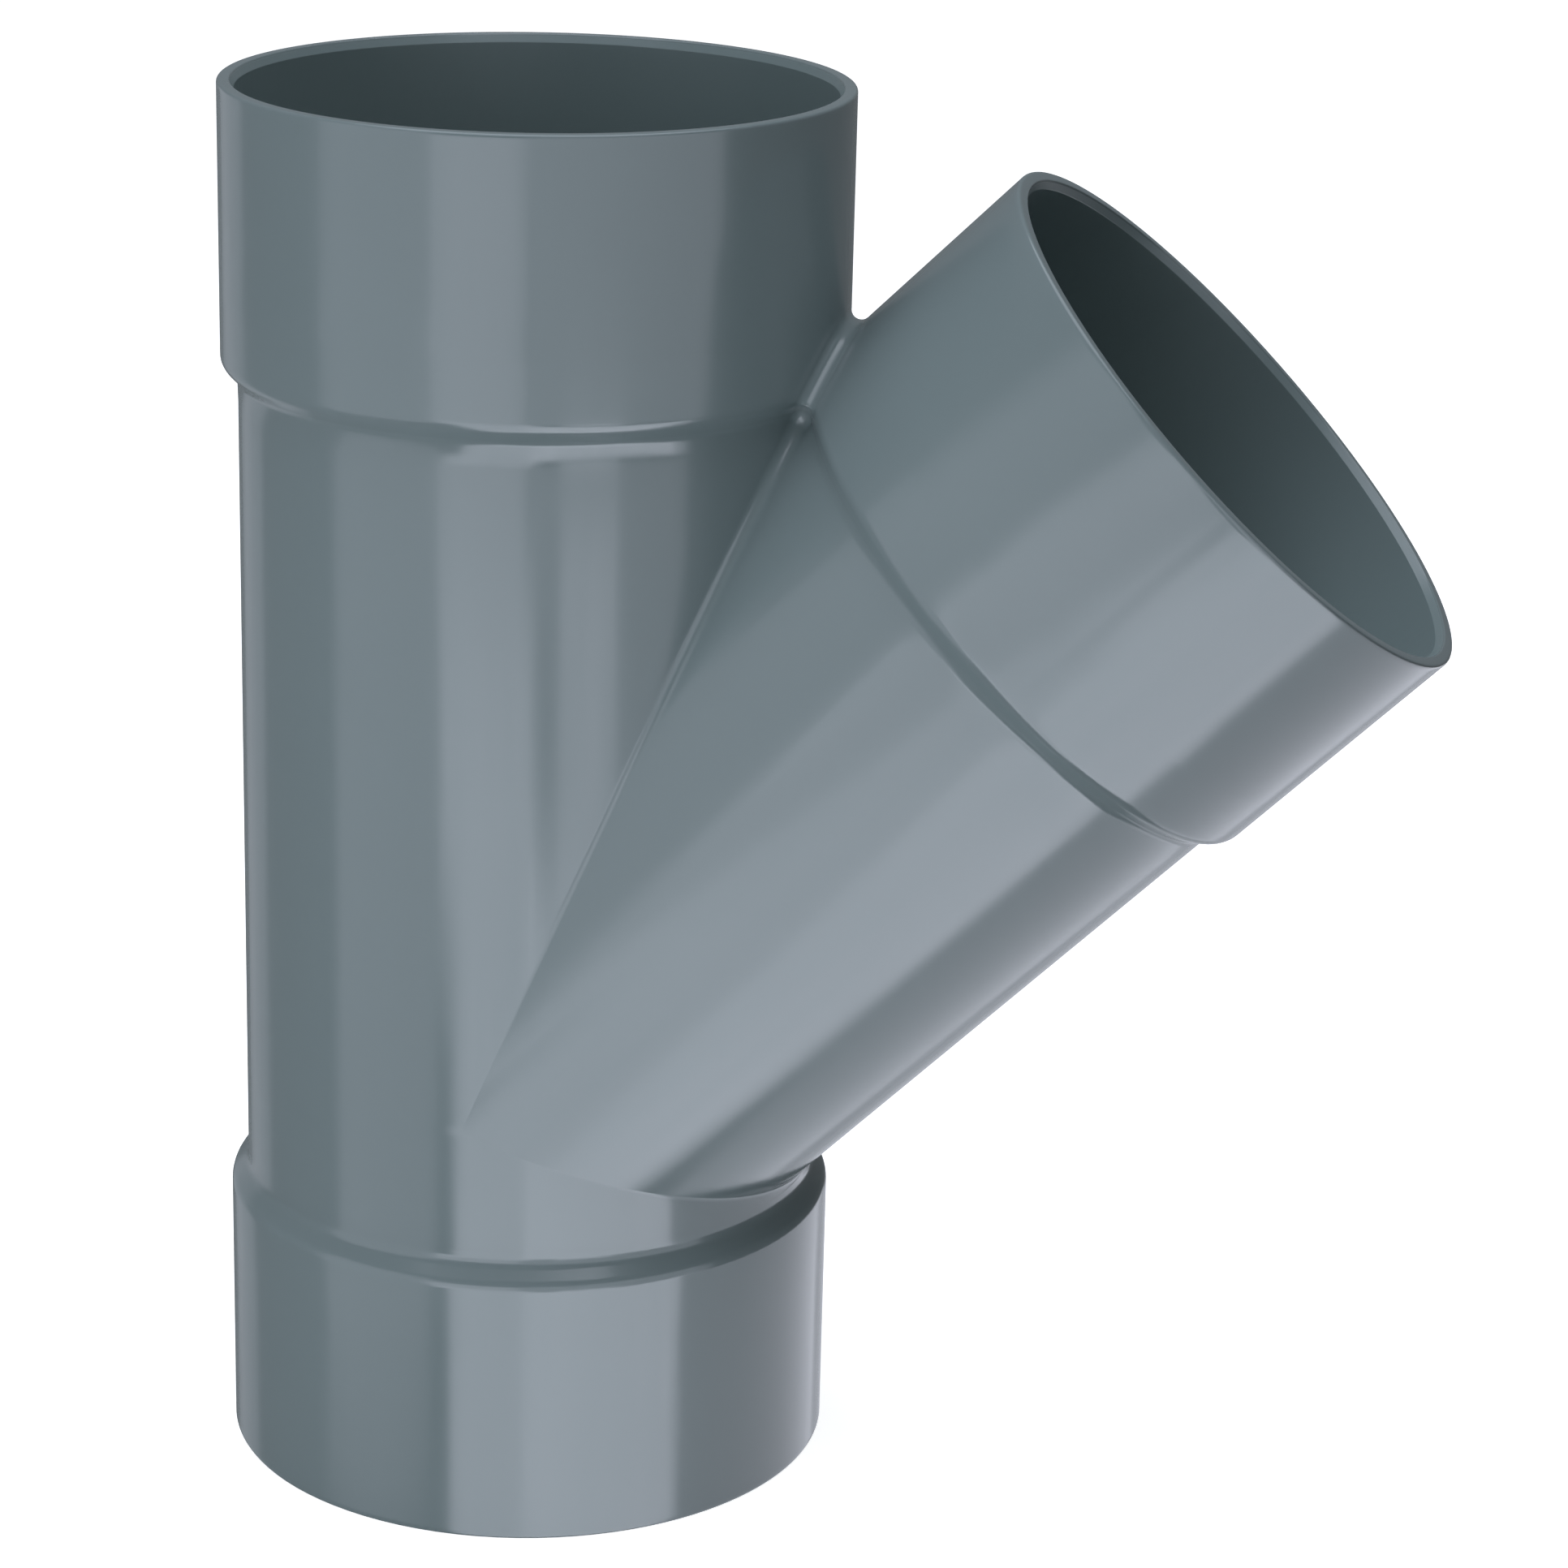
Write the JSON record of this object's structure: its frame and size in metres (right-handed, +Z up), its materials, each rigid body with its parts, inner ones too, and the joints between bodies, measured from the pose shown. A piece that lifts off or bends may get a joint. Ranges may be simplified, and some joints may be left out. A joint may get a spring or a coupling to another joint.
{
  "type": "wye pipe fitting",
  "caption": "Grey plastic wye fitting for drain pipe: a straight run and a branch at 45 degrees, each end a socket with an inner stop for a solvent-welded pipe.",
  "frame": {"origin": "centre of the lower socket's mouth, on the axis of the run", "axes": "+Z up along the run, from the lower mouth to the upper one; +X towards the branch, which leans 45 degrees from +Z in the XZ plane; +Y completes the right-handed frame and is square to the plane of symmetry"},
  "size_m": [0.2304, 0.1168, 0.2659],
  "materials": {
    "grey_pvc": "smooth moulded rigid plastic, satin gloss"
  },
  "bodies": {
    "root": {"wye_body": "grey_pvc"}
  },
  "joints": []
}
